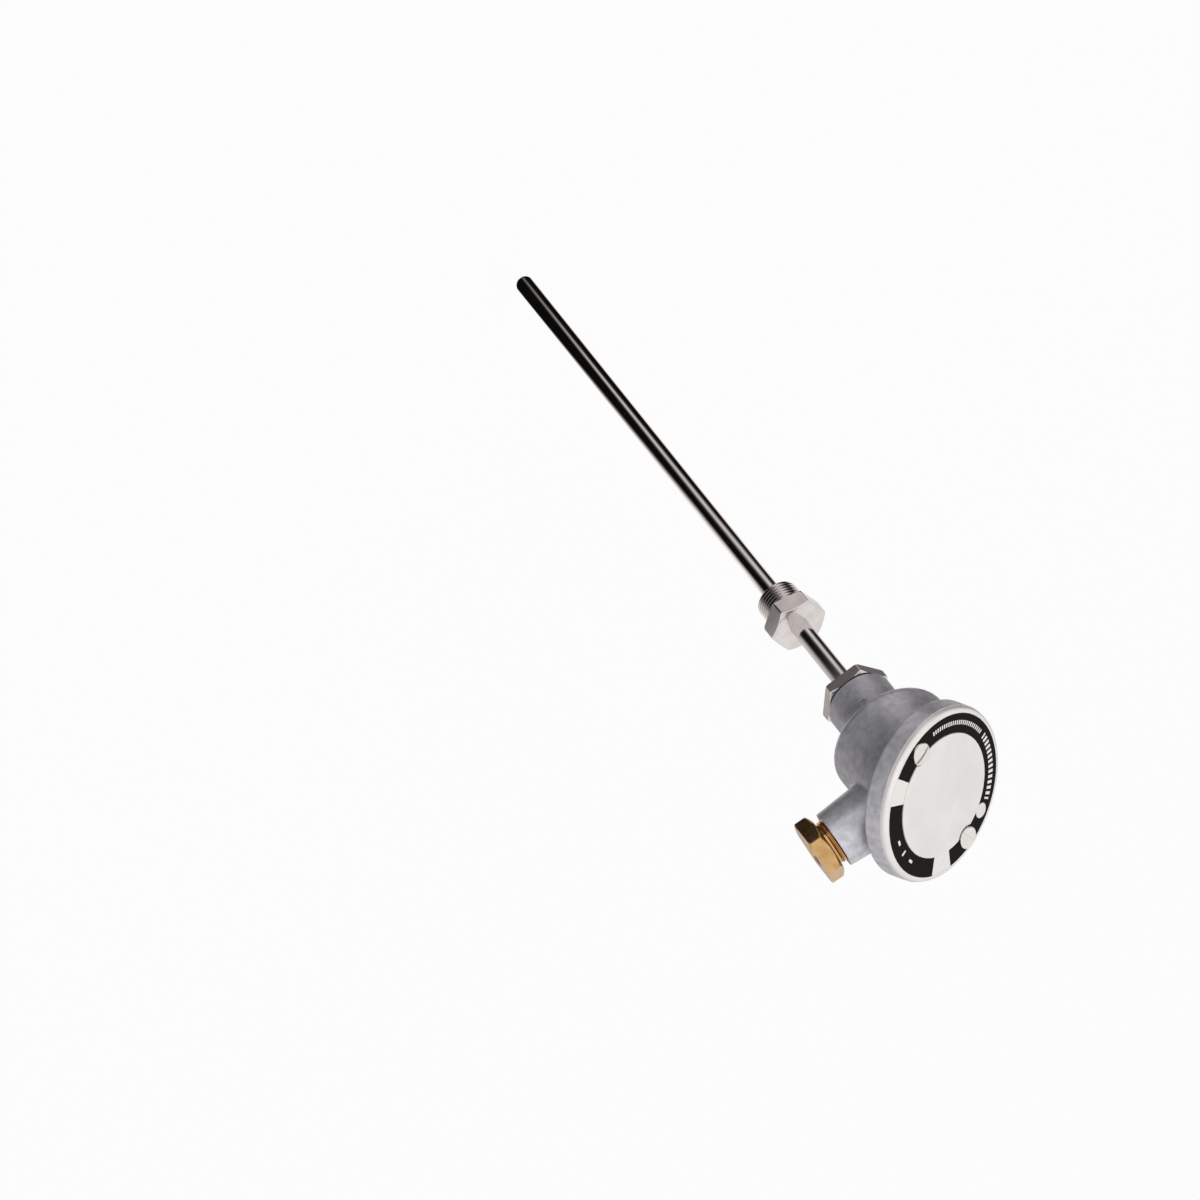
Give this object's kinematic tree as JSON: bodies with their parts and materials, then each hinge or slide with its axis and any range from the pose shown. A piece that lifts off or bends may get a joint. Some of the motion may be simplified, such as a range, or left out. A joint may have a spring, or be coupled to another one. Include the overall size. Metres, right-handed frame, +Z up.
{
  "type": "rtd probe with head",
  "caption": "Resistance thermometer with a long stainless stem, a threaded process fitting and a cast connection head with a slanted round cover and a brass cable gland.",
  "frame": {"origin": "on the stem axis, at the sealing shoulder of the process fitting", "axes": "+Z up the stem into the head, +X along the cable entry, +Y to the side so that the frame is right-handed"},
  "size_m": [0.1008, 0.085, 0.442],
  "materials": {
    "polished_stainless": "drawn tube, polished bright",
    "turned_stainless": "turned and milled, satin",
    "cast_aluminium": "die cast, blasted, matt grey",
    "cover_aluminium": "cast and coated, fine satin, pale",
    "printed_ring": "aluminium foil printed black, satin",
    "nickel_plated_steel": "nickel plated, bright",
    "brass": "turned, bright",
    "black_rubber": "moulded, matt",
    "ceramic": "pressed and fired, unglazed",
    "mineral_powder": "compacted powder",
    "potting": "cast resin, matt",
    "nickel_wire": "drawn wire",
    "lead_red": "extruded insulation",
    "lead_white": "extruded insulation"
  },
  "bodies": {
    "head": {"protection_tube": "polished_stainless", "process_fitting": "turned_stainless", "neck_bush": "turned_stainless", "neck_set_screw": "nickel_plated_steel", "head_housing": "cast_aluminium", "cover_gasket": "black_rubber", "head_cover": "cover_aluminium", "label_ring": "printed_ring", "cover_rivet": "nickel_plated_steel", "cover_screws": "nickel_plated_steel", "gland_inner_washer": "nickel_plated_steel", "gland_seal": "black_rubber", "fixing_screws": "nickel_plated_steel", "insert_spring_1": "nickel_wire", "insert_spring_2": "nickel_wire"},
    "gland_washer": {"gland_outer_washer": "nickel_plated_steel"},
    "gland_screw": {"gland_screw": "brass"},
    "measuring_insert": {"insert_sheath": "polished_stainless", "mineral_fill": "mineral_powder", "sensor_element": "ceramic", "end_seal": "potting", "insert_plate": "turned_stainless", "terminal_block": "ceramic", "terminal_screws": "nickel_plated_steel", "conductor_1": "nickel_wire", "conductor_2": "nickel_wire", "conductor_3": "nickel_wire", "terminal_1": "brass", "terminal_2": "brass", "terminal_3": "brass", "lead_1": "lead_red", "lead_2": "lead_red", "lead_3": "lead_white"}
  },
  "joints": [
    {"name": "gland_travel", "type": "slide", "parent": "head", "child": "gland_washer", "axis": [-1, 0, 0], "range_m": [0, 0.00282]},
    {"name": "gland_turn", "type": "hinge", "parent": "gland_washer", "child": "gland_screw", "pos_m": [0.053, 0, 0.1292], "axis": [-1, 0, 0], "range_deg": [0, 720]},
    {"name": "insert_lift", "type": "slide", "parent": "head", "child": "measuring_insert", "axis": [0, 0, 1], "range_m": [0, 0.006], "stiffness_N_per_m": 2400, "springref_m": -0.004, "deforming": ["insert_spring_1", "insert_spring_2"]}
  ],
  "couplings": [
    {"joint": "gland_travel", "follows": "gland_turn", "m_per_rad": 0.00022457}
  ]
}
